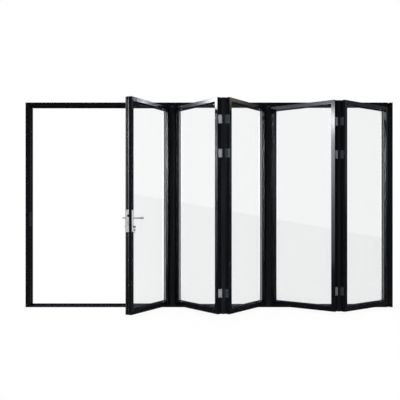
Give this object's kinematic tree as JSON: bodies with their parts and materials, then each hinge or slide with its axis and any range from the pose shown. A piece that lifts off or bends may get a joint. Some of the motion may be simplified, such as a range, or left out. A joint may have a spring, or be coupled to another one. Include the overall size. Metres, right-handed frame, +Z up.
{
  "type": "bifold glass patio door",
  "caption": "Outward-opening folding glass patio door in a black aluminium frame, its leaves parked zigzag to the right, with silver hinges and lever handles.",
  "frame": {"origin": "middle of the sill's flat underside", "axes": "+X along the opening towards the jamb that carries the leaves, +Y into the building, +Z up"},
  "size_m": [3.96, 0.7416, 2.207],
  "materials": {
    "black_paint": "glossy black powder coat",
    "glass": "clear float glass",
    "silver_hinge": "satin anodised",
    "silver_handle": "satin",
    "steel": "brushed",
    "brass_nickel": "nickel plated"
  },
  "bodies": {
    "door": {"head_outer_profile": "black_paint", "head_inner_profile": "black_paint", "head_web": "black_paint", "outer_running_rail": "black_paint", "inner_running_rail": "black_paint", "sill": "black_paint", "left_jamb": "black_paint", "right_jamb": "black_paint", "leaf_1_left_stile": "black_paint", "leaf_1_right_stile": "black_paint", "leaf_1_top_rail": "black_paint", "leaf_1_bottom_rail": "black_paint", "leaf_1_glass": "glass", "leaf_2_left_stile": "black_paint", "leaf_2_right_stile": "black_paint", "leaf_2_top_rail": "black_paint", "leaf_2_bottom_rail": "black_paint", "leaf_2_glass": "glass", "leaf_3_left_stile": "black_paint", "leaf_3_right_stile": "black_paint", "leaf_3_top_rail": "black_paint", "leaf_3_bottom_rail": "black_paint", "leaf_3_glass": "glass", "leaf_4_left_stile": "black_paint", "leaf_4_right_stile": "black_paint", "leaf_4_top_rail": "black_paint", "leaf_4_bottom_rail": "black_paint", "leaf_4_glass": "glass", "leaf_5_left_stile": "black_paint", "leaf_5_right_stile": "black_paint", "leaf_5_top_rail": "black_paint", "leaf_5_bottom_rail": "black_paint", "leaf_5_glass": "glass", "back_post_1_2": "black_paint", "near_post_2_3": "black_paint", "back_post_3_4": "black_paint", "near_post_4_5": "black_paint", "top_hinge_2_3": "silver_hinge", "middle_hinge_2_3": "silver_hinge", "bottom_hinge_2_3": "silver_hinge", "top_hinge_4_5": "silver_hinge", "middle_hinge_4_5": "silver_hinge", "bottom_hinge_4_5": "silver_hinge", "top_carriage_1_2": "steel", "top_carriage_3_4": "steel", "strike_plate": "steel", "lock_faceplate": "steel", "outside_backplate": "silver_handle", "inside_backplate": "silver_handle", "lock_cylinder": "brass_nickel", "key": "brass_nickel", "key_ring": "brass_nickel", "spare_key": "brass_nickel"},
    "lever": {"lever_handle": "silver_handle"}
  },
  "joints": [
    {"name": "lever_turn", "type": "hinge", "parent": "door", "child": "lever", "pos_m": [-0.79916, -0.65399, 0.968], "axis": [-0.8763, 0.4818, 0], "range_deg": [0, 40], "stiffness_Nm_per_rad": 1.5, "springref_deg": -22.92}
  ]
}
